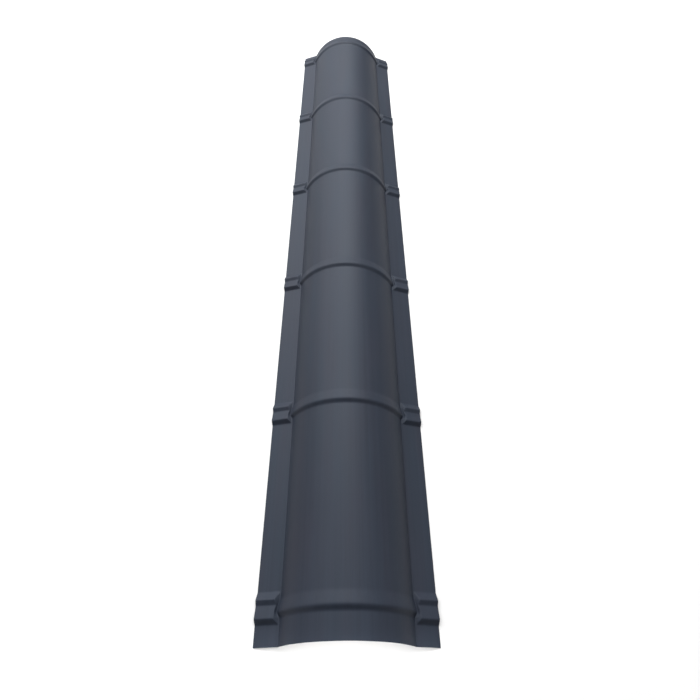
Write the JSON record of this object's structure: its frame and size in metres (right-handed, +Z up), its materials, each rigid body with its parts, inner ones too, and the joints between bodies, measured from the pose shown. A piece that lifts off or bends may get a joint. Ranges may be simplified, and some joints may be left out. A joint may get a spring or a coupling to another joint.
{
  "type": "roof ridge cap",
  "caption": "Half-round metal roof ridge cap: one painted steel sheet with an arch, two sloping flanges and stamped cross joints",
  "frame": {"origin": "On the ground under the middle of the cap's box, halfway along its length", "axes": "Y runs along the ridge with the near end at -Y, X runs across it, Z is up"},
  "size_m": [0.3176, 2, 0.0892],
  "materials": {
    "painted_steel": "matt blue-grey coil coating"
  },
  "bodies": {
    "root": {"ridge_cap": "painted_steel"}
  },
  "joints": []
}
